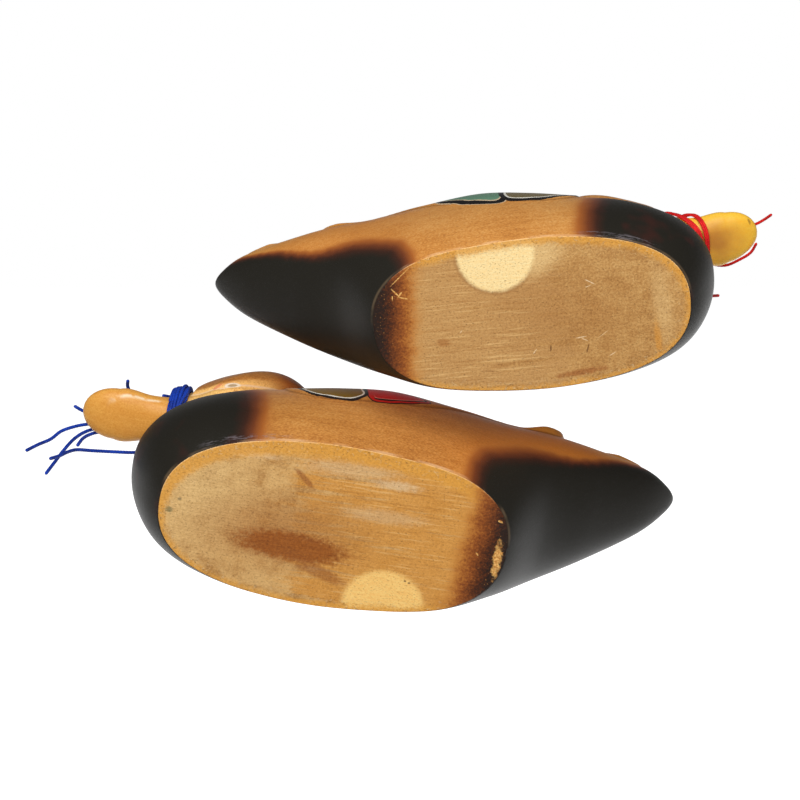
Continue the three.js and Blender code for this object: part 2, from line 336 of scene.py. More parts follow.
def skin(duck, s, angle, lift=0.0):
    """Points of the skin: angle 0 is the back and a quarter turn is the duck's left side."""
    six = sections(np.ravel(s), duck).reshape(*np.shape(s), 6)
    top, keel = six[..., 0:2], six[..., 2:4]
    half, wide = six[..., 4], six[..., 5]
    middle = top + (keel - top) * wide[..., None]
    upward = (top - keel) / np.maximum(norm(top - keel, axis=-1, keepdims=True), 1e-9)
    above = np.cos(angle) >= 0
    reach = norm(np.where(above[..., None], top, keel) - middle, axis=-1)
    exponent = 2 / np.where(above, ROUND_ABOVE, ROUND_BELOW)
    out_along, out_across = np.cos(angle) * half, np.sin(angle) * reach
    size = np.maximum(np.hypot(out_along, out_across), 1e-9)
    along = power(np.cos(angle), exponent) * reach + out_along / size * lift
    across = power(np.sin(angle), exponent) * half + out_across / size * lift
    flat = middle + upward * along[..., None]
    root = rise(flat[..., 0], *ROOT_STARTS) * (1 - rise(flat[..., 0], *ROOT_ENDS))
    root = root * rise(flat[..., 1], *ROOT_ABOVE)
    wider = rise(across, 0, 5) + OTHER_SIDE * rise(-across, 0, 5)
    across = across + duck.bill_side * root * wider
    return np.stack([flat[..., 0], across, flat[..., 1]], axis=-1)


widest = skin(BLUE, np.full(9, 7.0), np.linspace(0, math.pi, 9))
print("half width at the widest section:", widest[:, 1].max().round(1), "mm")

# %% [markdown]
# ## Wings, tail coverts and crest
# They stand half a millimetre to two millimetres proud of the body, with a soft edge, and are
# drawn on the side view. A signed distance says for every point how far inside an outline it
# lies. The same distances are kept on the mesh for the paint, since a colour that changes where
# a distance passes zero has a crisp edge at any closeness, with no picture to stretch.

# %% Distances to outlines
def smooth_outline(points, per_span=8):
    """A closed smooth outline through the points."""
    near = (np.roll(points, shift, axis=0)[:, None] for shift in (1, 0, -1, -2))
    t = np.linspace(0, 1, per_span, endpoint=False)[None, :, None]
    return spline(*near, t).reshape(-1, 2)


def inside_by(x, z, outline):
    """How far inside a closed outline each point lies. It is below 0 outside."""
    near = np.full(np.shape(x), 1e9)
    inside = np.zeros(np.shape(x), bool)
    for a, b in zip(outline, np.roll(outline, -1, axis=0)):
        edge = b - a
        t = np.clip(((x - a[0]) * edge[0] + (z - a[1]) * edge[1]) / np.dot(edge, edge), 0, 1)
        near = np.minimum(near, np.hypot(x - a[0] - t * edge[0], z - a[1] - t * edge[1]))
        if a[1] != b[1]:
            crossing = a[0] + (z - a[1]) / (b[1] - a[1]) * edge[0]
            inside ^= ((a[1] > z) != (b[1] > z)) & (x < crossing)
    return np.where(inside, near, -near)


# %% The raised outlines
WING = smooth_outline(table(2, """
    14 46  15.5 38  14 28  9 22.5  3 20.4  -8 21.8  -20 25  -30 31  -41 36.5  -50 38.5  -57 40
    -61.2 43.5  -60.5 48.4  -50 46.8  -30 46.4  0 46.4
"""))
COVERTS = table(2, "-56 56  -56 47  -67 46.6  -77 45.5  -84 48.5  -82 56")
CREST = table(2, """
    39 53.6  35 52.6  31 52  28.7 52.9  25.6 53.9  21.4 55.4  18.2 56.7  12 59.4  0 64  0 80  34 80
    37.4 62
""")
WING_LIFT, COVERT_LIFT, CREST_LIFT = 0.5, 1.0, 0.8
FLARE_FROM, FLARE_TO = -48, -57  # along here the wing tips come to stand further out
EDGE = 0.55


def lift_at(duck, x, z):
    """How far the skin stands proud at each point of the side view."""
    wing = WING_LIFT + (duck.flare - WING_LIFT) * rise(-x, -FLARE_FROM, -FLARE_TO)
    return np.maximum.reduce([
        wing * rise(inside_by(x, z, WING), -EDGE, EDGE),
        COVERT_LIFT * rise(inside_by(x, z, COVERTS), -EDGE, EDGE),
        CREST_LIFT * rise(inside_by(x, z, CREST), -EDGE, EDGE),
    ])


# %% [markdown]
# ## Painted fields on the wings
# Each wing carries two fields of colour: one rounded at the front with a white border, and one
# behind it that tapers to a point. The outlines differ a little between the ducks, as the
# brush did. The scorched zones have edges too: the breast from the neck down, and the tail
# below a slanting line. All of them become distances on the mesh.

# %% Outlines of the paint
BLUE.fields = {"front_field": table(2, """
    10 40  10.8 33  9.8 27.5  8.2 24.2  6.2 22.6  3.8 21.9  1.4 21.5  -0.9 21.3  -2.8 21.9
    -4.4 23.8  -4.9 25.2  -4.6 28  -4 33  -2 38  1 41.5  7 42.5
"""), "rear_field": table(2, """
    -6.4 24.6  -6.9 22.5  -8.3 21.7  -10.7 22  -13.2 22.6  -17 24.3  -20 26  -22.8 28.3  -20 32
    -14 36  -8.5 37.5  -6.3 33
""")}
RED.fields = {"front_field": table(2, """
    -6 28.3  -5.2 23.4  -2.2 22.3  0.9 22.4  4.2 22.7  7.8 25  12 29  14.3 33.5  13.5 40  6 42.5
    -1 41  -5 36
"""), "rear_field": table(2, """
    -7.5 25.6  -8.4 22.5  -12 23.1  -16.2 24.8  -20 27.4  -24 31  -18 34.6  -12 36.8  -8 37.2
    -6.9 31
""")}
# x, z of the line below which the tail is black.
TAIL_EDGE = table(2, """
    -38.3 0  -39 3.7  -41 8  -48.7 14  -56 19.7  -65.3 27  -71.2 32.2  -76.5 37.2  -84.8 43.7
    -90 48.5  -100 54  -130 54  -130 -60  -38.3 -60
""")
# x, z of the line in front of which the breast is black. It ends alike on both ducks.
CHIN = "37 39.5  46 42  90 44  90 -60"
BLUE.breast = table(2, "23 -60  23 0  23 12  24 24  28 34  " + CHIN)
RED.breast = table(2, "19 -60  19 0  20 12  23 24  29 34  " + CHIN)
for duck in DUCKS:
    for field, outline in duck.fields.items():
        duck.fields[field] = smooth_outline(outline)
    print(duck.name, "has", len(duck.fields), "painted fields on each wing")

# %% [markdown]
# ## The mesh of a duck
# Rows of points are laid on the skin 0.8 mm apart, so that the edges of the wings have enough
# points to bend at. The duck was sanded flat underneath. A boolean cut would do, but three cuts
# with a plane and a push are lighter: whatever hangs below the ground is pressed flat onto it,
# and the ring at the edge is lifted a tenth of a millimetre, as the rim is worn on the real one.

# %% Rows an even step apart
SPACING = 0.8
AROUND = 216


def row_places(duck):
    s = np.linspace(0, LAST, 6000)
    six = sections(s, duck)
    step = np.maximum(
        norm(np.diff(six[:, 0:2], axis=0), axis=1),
        norm(np.diff(six[:, 2:4], axis=0), axis=1),
    )
    gone = np.concatenate([[0], np.cumsum(step)])
    marks = np.linspace(0, gone[-1], round(gone[-1] / SPACING) + 1)
    return np.interp(marks, gone, s)[1:-1]


print("rows on the larger duck:", len(row_places(BLUE)))


# %% From skin to solid
RIM = 0.35  # the worn rim reaches this far up the side and in over the base
RIM_RISE = 0.1
ON_GROUND = 1e-3


def carve(duck):
    """The mesh in the pattern's millimetres. The faces of the base get the second finish."""
    rows = row_places(duck)
    angle = np.linspace(0, TURN, AROUND, endpoint=False)
    s, angle = np.meshgrid(rows, angle, indexing="ij")
    plain = skin(duck, s, angle)
    points = skin(duck, s, angle, lift_at(duck, plain[..., 0], plain[..., 2]))
    tips = skin(duck, np.array([0.0, LAST]), np.zeros(2))
    count = len(rows) * AROUND
    k = np.arange(AROUND)
    n = (k + 1) % AROUND
    start = (np.arange(len(rows) - 1) * AROUND)[:, None]
    faces = np.stack([start + k, start + AROUND + k, start + AROUND + n, start + n], axis=-1)
    faces = faces.reshape(-1, 4).tolist()
    faces += [(count, int(a), int(b)) for a, b in zip(k, n)]
    far = count - AROUND
    faces += [(count + 1, int(far + b), int(far + a)) for a, b in zip(k, n)]
    mesh = bpy.data.meshes.new(duck.name + "_duck_carved")
    mesh.from_pydata(np.vstack([points.reshape(-1, 3), tips]).tolist(), [], faces)
    cut = bmesh.new()
    cut.from_mesh(mesh)
    for height in (RIM, 0, -RIM):
        everything = cut.verts[:] + cut.edges[:] + cut.faces[:]
        bmesh.ops.bisect_plane(
            cut, geom=everything, dist=1e-4, plane_co=(0, 0, height), plane_no=(0, 0, 1)
        )
    for face in cut.faces:
        face.material_index = int(max(v.co.z for v in face.verts) < ON_GROUND)
    for v in cut.verts:
        if abs(v.co.z) < ON_GROUND:
            v.co.z = RIM_RISE
        elif v.co.z < 0:
            v.co.z = 0
    bmesh.ops.dissolve_degenerate(cut, dist=1e-5, edges=cut.edges[:])
    bmesh.ops.recalc_face_normals(cut, faces=cut.faces[:])
    cut.to_mesh(mesh)
    cut.free()
    return mesh


# %% What the paint needs to know of each point
def keep_numbers(mesh, name, values, kind="FLOAT", field="value"):
    made = mesh.attributes.new(name, kind, "POINT")
    made.data.foreach_set(field, np.ascontiguousarray(values, np.float32).ravel())


def mark_paint(duck, mesh):
    """Keeps each point's place in the pattern and its distances to the outlines."""
    place = np.empty(len(mesh.vertices) * 3)
    mesh.vertices.foreach_get("co", place)
    place = place.reshape(-1, 3)
    x, y, z = place.T
    keep_numbers(mesh, "place", place, "FLOAT_VECTOR", "vector")
    outlines = {**duck.fields, "wing_edge": WING, "crest_edge": CREST}
    for name, outline in outlines.items():
        keep_numbers(mesh, name, inside_by(x, z, outline))
    keep_numbers(mesh, "tail_burn", inside_by(x, z - duck.tail_rise, TAIL_EDGE))
    keep_numbers(mesh, "breast_burn", inside_by(x, z, duck.breast))
    ring = place[np.abs(z - RIM_RISE) < 1e-5]
    ring = ring[np.argsort(np.arctan2(ring[:, 1], ring[:, 0]))][:, :2]
    low = z < RIM_RISE + 1e-4
    rim = -z.copy()
    rim[low] = inside_by(x[low], y[low], ring)
    keep_numbers(mesh, "rim", rim)
    return place


# %% Both ducks
ducks = {}
for duck in DUCKS:
    mesh = carve(duck)
    place = mark_paint(duck, mesh)
    mesh.vertices.foreach_set("co", to_room(duck, place).astype(np.float32).ravel())
    mesh.shade_smooth()
    mesh.update()
    piece = placed(duck.name + "_duck_carved", mesh)
    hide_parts(duck.name + "_duck")
    ducks[duck.name] = piece
    print(piece.name, len(mesh.polygons), "faces")

# %% [markdown]
# ## The windings
# The thread goes round the root of the bill in tight turns, one layer over another, and is tied
# on top. A coil made by a screw modifier would be round, but the bill is not, so the turns take
# their shape from the duck's own skin. The line says for each point how far forward and at what
# angle it lies. That place is looked up on the skin, and the point is lifted off it by the
# height of its layer. The turns wander a little, as wound by hand.

# %% Turns round the bill
ROOT_FROM, ROOT_TO, HALVINGS = 18.4, 22.0, 24
FIRST_ANGLE, PER_TURN, SOFTENINGS = 2.2, 60, 6
KNOT_LIFT = 1.4


def where_x(duck, x, angle):
    """The station at which the skin of the bill reaches x, found by halving."""
    low, high = np.full(np.shape(x), ROOT_FROM), np.full(np.shape(x), ROOT_TO)
    for _ in range(HALVINGS):
        middle = (low + high) / 2
        short = skin(duck, middle, angle)[..., 0] < x
        low, high = np.where(short, middle, low), np.where(short, high, middle)
    return low


def turns(duck):
    """One line that winds through all layers, in the pattern's millimetres."""
    x, angle, lift = [], [], []
    at, wander = FIRST_ANGLE, duck.wander
    for number, (rounds, first, last, height, above, below) in enumerate(duck.layers):
        t = np.linspace(0, 1, round(rounds * PER_TURN))
        turned = at + TURN * rounds * t
        upper = np.cos(turned)
        x.append(first + (last - first) * t - upper * np.where(upper > 0, above, below)
                 + wander * np.sin(5.1 * rounds * t + 2.3 * number))
        angle.append(turned)
        lift.append(height + wander * (0.6 * np.sin(7.3 * rounds * t + number)
                                       + 0.8 * np.sin(2.9 * rounds * t) * (upper > 0.3)))
        at += TURN * rounds
    x, angle, lift = (np.concatenate(part) for part in (x, angle, lift))
    line = skin(duck, where_x(duck, x, angle), angle, lift)
    softened = line.copy()
    for _ in range(SOFTENINGS):
        softened[1:-1] = (softened[:-2] + softened[1:-1] * 2 + softened[2:]) / 4
    return softened


def over_knot(duck, station, angle, reach, shift):
    """A loop that crosses over the turns where the winding is tied."""
    here, higher = (
        skin(duck, np.array([station]), np.array([angle]), lift)[0]
        for lift in (KNOT_LIFT, KNOT_LIFT + 1)
    )
    out = higher - here
    beside = np.cross(out, [1, 0, 0])
    beside /= norm(beside)
    t = np.linspace(0, TURN, 40)
    return (
        here + beside * shift + out * (reach * 0.62 * np.cos(t))[:, None]
        + np.array([1, 0, 0]) * (reach * np.sin(t))[:, None]
        + beside * (0.6 * np.sin(t))[:, None]
    )


# %% The two windings
# A layer has its rounds, first and last x, height, and how far it leans above and below.
vars(BLUE).update(
    layers=[(6, 39.8, 44.8, 1.1, 0.6, 0), (5, 44.5, 40.2, 1.95, 0.9, 0),
            (4, 41.0, 44.6, 2.75, 0.9, 0)],
    wander=0.28,
    knots=[(19.75, -0.3, 3.1, -0.5), (19.75, -0.3, 3.1, 0.55), (19.9, -0.42, 1.5, 0.1)],
    stubs=[table(3, "44.5 2.5 61.8  46.9 2 60.5  51 2.6 58.9  55 3.8 58  56.8 6.5 57  57 9.4 55"),
           table(3, "44.2 3.8 60.6  45.6 5 58.2  47.2 5.9 56.2")],
)
vars(RED).update(
    layers=[(3, 43.7, 45.7, 1.0, 5.6, 6.0), (2, 49.2, 50.3, 1.1, 5.4, 2.8)],
    wander=0.12,
    knots=[(20, 0.35, 2.6, -0.5), (20, 0.35, 2.6, 0.5), (20.1, 0.5, 1.3, 0)],
    stubs=[],
)
for duck in DUCKS:
    lines = [turns(duck)] + [over_knot(duck, *knot) for knot in duck.knots]
    lines += [line_through(stub) for stub in duck.stubs]
    points, faces = [], []
    for line in lines:
        base = sum(map(len, points))
        more, skins = thread(line, duck.thread / duck.size)
        points.append(more)
        faces += [tuple(base + corner for corner in face) for face in skins]
    winding = make_piece(f"{duck.name}_wound", to_room(duck, np.vstack(points)), faces)
    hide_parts(f"{duck.name}_winding")
    threads[duck.name].append(winding)
    print(winding.name, len(faces), "faces")

# %% [markdown]
# ## Shader maths as sums
# A finish in Blender is a net of nodes. Drawn by hand it soon hides what it means, so a small
# class wraps a socket: sums on it add Math nodes, and one method adds any other node with its
# settings and the values of its sockets.

# %% A socket that can be reckoned with
class Socket:
    """One output of a node tree. Sums on it add the nodes that work them out."""

    def __init__(self, tree, socket=None):
        self.tree, self.socket = tree, socket

    def node(self, kind, settings=None, values=None, out=None):
        """Adds a node: first its settings, then the values or links of its sockets."""
        made = self.tree.nodes.new("ShaderNode" + kind)
        for name, setting in (settings or {}).items():
            if name == "stops":
                elements = made.color_ramp.elements
                for place, _ in setting[1:-1]:
                    elements.new(place)
                for element, (place, colour) in zip(elements, setting):
                    element.position, element.color = place, (*colour, 1)
            else:
                setattr(made, name, setting)
        for name, value in (values or {}).items():
            into = made.inputs[name] if isinstance(name, int) else next(
                s for s in made.inputs if s.enabled and s.name == name)
            if isinstance(value, Socket):
                self.tree.links.new(value.socket, into)
            elif isinstance(value, tuple) and into.type == "RGBA":
                into.default_value = (*value, 1)
            else:
                into.default_value = value
        shown = [s for s in made.outputs if s.enabled]
        return Socket(self.tree, made.outputs[out] if out else shown[0] if shown else None)

    def maths(self, operation, *values):
        return self.node("Math", {"operation": operation}, dict(enumerate(values)))

    __add__ = __radd__ = lambda a, b: a.maths("ADD", a, b)
    __mul__ = __rmul__ = lambda a, b: a.maths("MULTIPLY", a, b)
    __sub__ = lambda a, b: a.maths("SUBTRACT", a, b)
    __rsub__ = lambda a, b: a.maths("SUBTRACT", b, a)
    __truediv__ = lambda a, b: a.maths("DIVIDE", a, b)
    __pow__ = lambda a, b: a.maths("POWER", a, b)


# %% Helpers on sockets
def blank_tree(owner):
    """The emptied node tree of a material or of the surroundings."""
    owner.use_nodes = True
    owner.node_tree.nodes.clear()
    return Socket(owner.node_tree)


def grow(value, low, high):
    """0 below low, 1 above high and a soft slope between."""
    return value.node("MapRange", {"interpolation_type": "SMOOTHSTEP"},
                      {"Value": value, "From Min": low, "From Max": high})


def fade(value, low, high):
    """1 below low and 0 above high."""
    return 1 - grow(value, low, high)


def stripe(value, low, high, soft):
    """1 between two values, with soft ends."""
    return grow(value, low - soft, low + soft) * fade(value, high - soft, high + soft)


def more_of(a, b):
    return a.maths("MAXIMUM", a, b)


def mixed(share, under, over):
    """One colour laid over another by a share from 0 to 1."""
    return share.node("Mix", {"data_type": "RGBA"}, {"Factor": share, "A": under, "B": over})


def ramp(share, stops):
    return share.node("ValToRGB", {"stops": stops}, {"Fac": share}, "Color")


# %% Patterns on the place of a point
def noise(place, scale, detail=3, roughness=0.5):
    return place.node("TexNoise", None, {"Vector": place, "Scale": scale, "Detail": detail,
                                         "Roughness": roughness}, "Fac")


def drawn_out(place, along, across, upwards, detail, roughness):
    """Noise with a scale of its own along each axis."""
    scaled = place.node("VectorMath", {"operation": "MULTIPLY"},
                        {0: place, 1: (along, across, upwards)})
    return noise(scaled, 1, detail, roughness)


def oval(a, b, middle, radii, turn=0):
    """0 at the middle of an oval and 1 at its outline."""
    cos, sin = math.cos(turn), math.sin(turn)
    along = ((a - middle[0]) * cos + (b - middle[1]) * sin) / radii[0]
    across = ((b - middle[1]) * cos - (a - middle[0]) * sin) / radii[1]
    return (along * along + across * across) ** 0.5


def kept(tree, name, out="Fac"):
    """What the mesh keeps for each point under a name."""
    return tree.node("Attribute", {"attribute_name": name}, None, out)


# %% The start and the end of a finish
def start_finish(duck, name):
    """A new material, and what its sums share: where each point lies, in the pattern."""
    material = bpy.data.materials.new(f"{duck.name}_{name}")
    tree = blank_tree(material)
    place = kept(tree, "place", "Vector")
    apart = tree.node("SeparateXYZ", None, {"Vector": place}).socket.node.outputs
    x, y, z = (Socket(tree.tree, output) for output in apart)
    lit = y * duck.lit_side
    return material, SimpleNamespace(
        tree=tree, place=place, x=x, y=y, z=z, lit=lit, rim=kept(tree, "rim"))


def end_finish(tree, height, depth, strength, values):
    """Joins the values to the output, with a bump of a height and a depth in metres."""
    values["Normal"] = tree.node(
        "Bump", None, {"Height": height, "Strength": strength, "Distance": depth})
    surface = tree.node("BsdfPrincipled", None, values)
    tree.node("OutputMaterial", None, {"Surface": surface})


# %% [markdown]
# ## Lacquered and scorched wood
# The sides, back and head are pale wood under a honey-coloured lacquer. A flame has burnt the
# breast and the tail to a soft black that fades through red-brown. Over that lie the painted
# fields, the eye and a few brush marks, and some painted light: shade round the foot of the
# wings, highlights on the cheek, on the blue bill and just above the rim, faces painted partly
# paler, and bills painted darker low down. A painted image could hold all this, but it would
# blur close up, so every layer is a sum on the distances that were kept on the mesh.

# %% The bare tone and grain under the lacquer
HONEY = [
    (0.2, (0.28, 0.085, 0.018)), (0.42, (0.46, 0.175, 0.036)), (0.6, (0.6, 0.255, 0.058)),
    (0.85, (0.74, 0.39, 0.12)),
]
PORE = (0.2, 0.065, 0.018)


def wood_tone(at, paler):
    """Colour of the lacquered wood, its grain for the bump, and its pores."""
    streaks = drawn_out(at.place, 0.05, 0.8, 0.8, 4, 0.6)
    specks = drawn_out(at.place, 1.5, 2.6, 2.6, 2, 0.6)
    cloud = noise(at.place, 0.05, 2)
    colour = ramp(streaks * 0.35 + specks * 0.75 + cloud * 0.4 - 0.25 + paler, HONEY)
    pores = grow(drawn_out(at.place, 0.9, 4.5, 4.5, 2, 0.7), 0.6, 0.7)
    return mixed(pores * 0.4, colour, PORE), streaks * 0.5 + specks * 0.5, pores


# %% Warmer behind, paler at the face and the bill, partly as painted light
REAR = (0.66, 0.2, 0.02), (0.76, 0.31, 0.045)  # low on the rear of the body, and high
# The pale face tone is partly the wood's own and partly painted light, where the head is lit.
PALE_FACE_AND_LIGHT = (0.99, 0.62, 0.2)
# The first tone of each bill is a painted shade for its lower part, the second its paler top.
vars(BLUE).update(paler=0, warmer=0.7, bill=((0.68, 0.26, 0.036), (0.92, 0.5, 0.11)))
vars(RED).update(paler=0.12, warmer=0.3, bill=((0.98, 0.5, 0.03), (0.99, 0.66, 0.08)))


def toned(duck, at):
    """The wood of the whole duck before the flame, with its grain and pores."""
    wood, grain, pores = wood_tone(at, duck.paler)
    warm = grow(0 - at.x, 20, 50) * duck.warmer
    wood = mixed(warm, wood, mixed(grow(at.z, 34, 42), *REAR))
    # Paler cheeks below the crest: partly their own tone, partly painted light.
    face = stripe(at.x, 16, 42, 5) * grow(at.z, 47, 50) * grow(at.crest, 1, -0.5)
    wood = mixed(face * 0.9, wood, mixed(grow(at.specks, 0.2, 0.6), wood, PALE_FACE_AND_LIGHT))
    # The bill darkens lower down as painted shade, mixed with grain and specks.
    bill_grain_and_shade = grow(at.specks * 0.5 + grain * 0.5 + at.z * 0.02 - 1.07, 0.25, 0.75)
    bill = grow(at.x + at.wobble * 2, 40.5, 46)
    return mixed(bill, wood, mixed(bill_grain_and_shade, *duck.bill)), grain, pores


# %% Burnt zones
BURNT = [
    (0, (0.54, 0.2, 0.042)), (0.32, (0.37, 0.11, 0.022)), (0.6, (0.16, 0.042, 0.014)),
    (0.84, (0.046, 0.017, 0.01)), (1, (0.016, 0.014, 0.01)),
]
EMBER = (0.045, 0.014, 0.01)
BLUE.fringe = -8, 4.2  # how far inside its edge the breast begins to burn, and is black
RED.fringe = -11, 2.4


def scorched(duck, at, wood):
    """Wood that turns through red-brown to black, and how far it has turned, from 0 to 1."""
    breast = grow(kept(at.tree, "breast_burn") + at.wobble * 2.5, *duck.fringe)
    soft = grow(at.x, -64, -44) * 6.5 + 2.6
    tail = kept(at.tree, "tail_burn") + at.wobble * 0.9 + at.hand * 0.8
    tail = grow(tail + grow(0 - at.lit, 2, 8) * 3.5, 0 - soft, 1)
    tail = tail * fade(at.wing, -0.4, 0.2)
    nape = grow(at.z + at.wobble * 6, 51, 62) * fade(at.x, 5, 25)
    nape = nape * grow(at.x, -4, 0)
    reach = more_of(more_of(breast, tail), nape * 0.62)
    colour = mixed(grow(reach, 0, 0.35), wood, ramp(reach, BURNT))
    embers = grow(noise(at.place, 0.085, 2), 0.52, 0.68) * grow(breast, 0.7, 1)
    return mixed(embers * 0.8, colour, EMBER), reach


# %% Painted shade round the wings, and rubbed edges with a painted highlight
# The first tone is painted shade round the foot of the wings, and the last a painted highlight
# just above the rim.
CREASE_SHADE, FLAKED, WALL_RIM_HIGHLIGHT = (0.1, 0.03, 0.01), (0.3, 0.26, 0.29), (0.85, 0.55, 0.3)


def rubbed_with_painted_light(at, colour, reach):
    """Painted shade round the foot of the wings, and lacquer worn along the base with a painted
    highlight just above the rim. Returns where it flaked.
    """
    # Painted shade in the crease round the foot of each wing.
    colour = mixed(stripe(at.wing, -0.7, 0, 0.35) * 0.5, colour, CREASE_SHADE)
    crackle = grow(drawn_out(at.place, 0.28, 0.28, 2.2, 3, 0.75), 0.5, 0.6)
    worn = stripe(at.rim, -2.2, -0.4, 0.4) * stripe(at.x, 14, 33, 4)
    flaked = worn * grow(at.lit, 3, 8) * crackle
    colour = mixed(flaked * 0.35, colour, FLAKED)
    # A painted highlight just above the rim, on the side towards the light.
    wall_rim_highlight = stripe(at.rim, -0.7, -0.1, 0.2) * grow(at.lit, 0, 5)
    wall_rim_highlight = wall_rim_highlight * grow(at.wobble, -0.1, 0.1) * (1 - reach * 0.8)
    return mixed(wall_rim_highlight * 0.5, colour, WALL_RIM_HIGHLIGHT), flaked


# %% Brush marks in bands round a field
WHITE, CREAM, BLACK = (0.78, 0.75, 0.66), (0.62, 0.47, 0.3), (0.012, 0.01, 0.01)
GOLD, OLIVE, GREEN = (0.19, 0.105, 0.012), (0.17, 0.13, 0.06), (0.12, 0.24, 0.16)
RED_PAINT, PINK = (0.58, 0.012, 0.01), (0.75, 0.25, 0.2)
ALL = None  # for a colour that fills everything further in
# From the outside in: the distance where each colour starts, and where it ends.
BLUE.bands = {
    "rear_field": [(-0.4, ALL, BLACK), (0, ALL, RED_PAINT), (0.6, 1.2, BLACK), (1.2, 1.5, PINK)],
    "front_field": [(-1.5, ALL, BLACK), (-0.5, ALL, WHITE), (0, ALL, GOLD), (0, 0.3, BLACK)],
}
RED.bands = {
    "rear_field": [(-2.6, ALL, CREAM), (-2.3, ALL, BLACK), (-0.4, ALL, CREAM), (0, ALL, GREEN)],
    "front_field": [(-2.1, ALL, BLACK), (-0.6, ALL, WHITE), (0, ALL, OLIVE)],
}
CRISP = 0.07


def painted(duck, at, colour):
    """The fields on the wings, and how thick their paint lies."""
    sides = grow(at.z, 18.8, 19.4) * fade(at.z, 44, 45)
    thick = 0
    for field, bands in duck.bands.items():
        inside = kept(at.tree, field) + at.hand * 0.3
        for low, high, paint in bands:
            if high is ALL:
                shown = grow(inside, low - CRISP, low + CRISP)
            else:
                shown = stripe(inside, low, high, CRISP) * fade(at.x, -8.4, -7.6)
            colour = mixed(sides * shown, colour, paint)
        thick = thick + grow(inside, bands[0][0] - 0.1, 0) * sides
    return colour, thick


# %% Marks on the head
# The first tone is a painted highlight along the top of the cheek, and the third a painted
# highlight on the blue bill.
CHEEK_HIGHLIGHT, EYE_RING, BILL_HIGHLIGHT, NOSTRIL = (
    (0.78, 0.56, 0.36), (0.42, 0.3, 0.17), (0.99, 0.86, 0.62), (0.2, 0.08, 0.02))
MARKS = [
    ((32.6, 52.2), (1.2, 0.3), (0.62, 0.1, 0.07)), ((16.2, 55.9), (1.2, 0.3), (0.6, 0.16, 0.12)),
    ((13.4, 56.2), (1.3, 0.4), (0.25, 0.3, 0.24)),
]


def marked(duck, at, colour):
    """A painted highlight below the crest, a dark line under it, brush marks, the eye, and on the
    bill a painted highlight on the blue duck and a dark spot on the red one.
    """
    # A painted highlight along the top of the cheek, just below the crest.
    line = stripe(at.crest, -0.62, -0.32, 0.1) * grow(at.z, 50, 51.5)
    colour = mixed(line * grow(at.x, 10, 16) * 0.75, colour, CHEEK_HIGHLIGHT)
    colour = mixed(stripe(at.crest, -1.1, -0.7, 0.3) * grow(at.x, 6, 20) * 0.3, colour, PORE)
    for middle, radii, paint in MARKS:
        dab = fade(oval(at.x, at.z, middle, radii, -0.2) + at.hand, 0.7, 1.2)
        colour = mixed(dab * 0.55, colour, paint)
    eye = oval(at.x, at.z, (28.8, 52.5), (2, 0.4), -0.25)
    colour = mixed(fade(eye + at.hand * 0.5, 0.9, 1.3) * 0.75, colour, WHITE)
    colour = mixed(fade(eye, 0.5, 0.8), colour, EYE_RING)
    if duck is BLUE:
        # A painted highlight along the top of the blue duck's bill.
        bill_highlight = stripe(at.x * 0.09 + at.z, 55.8, 56.3, 0.3) * stripe(at.x, 45, 60, 2)
        bill_highlight = bill_highlight * grow(at.lit, 0, 3) * grow(at.hand, -0.12, 0.08)
        return mixed(bill_highlight * 0.7, colour, BILL_HIGHLIGHT)
    nostril = fade(oval(at.x, at.z, (65.5, 51.9), (0.5, 0.4)), 0.5, 1.3) * grow(at.lit, 0, 2)
    return mixed(nostril * 0.6, colour, NOSTRIL)


# %% The lacquered finish
def lacquered(duck):
    material, at = start_finish(duck, "lacquered_wood")
    at.crest, at.wing = kept(at.tree, "crest_edge"), kept(at.tree, "wing_edge")
    at.wobble = noise(at.place, 0.1) - 0.5
    at.hand = noise(at.place, 0.35, 2) - 0.5
    at.specks = noise(at.place, 2.4, 3, 0.7)
    wood, grain, pores = toned(duck, at)
    colour, reach = scorched(duck, at, wood)
    colour, flaked = rubbed_with_painted_light(at, colour, reach)
    colour, thick = painted(duck, at, colour)
    end_finish(at.tree, grain * 0.3 - pores * 0.5 + flaked * 1.5 + thick * 0.4, 0.00014, 0.5, {
        "Base Color": marked(duck, at, colour),
        "Roughness": 0.34 + 0.14 * at.specks + reach * 0.08,
        "Specular IOR Level": 0.2,
        "Coat Weight": 0.07 - reach * 0.03,
        "Coat Roughness": 0.25,
    })
    return material


# %% [markdown]
# ## The bare underside
# The base was sanded and left with a thin wash, so it shows the wood best: pores, lengthwise
# grain towards the tail, an orange band near the rim, a round pale patch, and brown stains.
# Behind, the flame has licked under and scorched it. A pale line along the rim on the side
# towards the light is a painted highlight, and so is a paler oval on the smaller duck. Each of
# these is an oval or a band in the plane of the base, with its edge roughened by noise.

# %% The sanded wood
SANDED = [
    (0.3, (0.28, 0.12, 0.03)), (0.46, (0.46, 0.225, 0.064)), (0.56, (0.57, 0.31, 0.1)),
    (0.72, (0.76, 0.48, 0.19)),
]
FADED, DARK_GRAIN, PALE_GRAIN = (0.86, 0.56, 0.23), (0.34, 0.13, 0.025), (0.88, 0.58, 0.24)
# How far the wash has faded, and the tones of the rear.
vars(BLUE).update(faded=0.42, tan=((0.46, 0.165, 0.02), (0.84, 0.4, 0.075)))
vars(RED).update(faded=0.06, tan=((0.4, 0.18, 0.05), (0.68, 0.4, 0.15)))


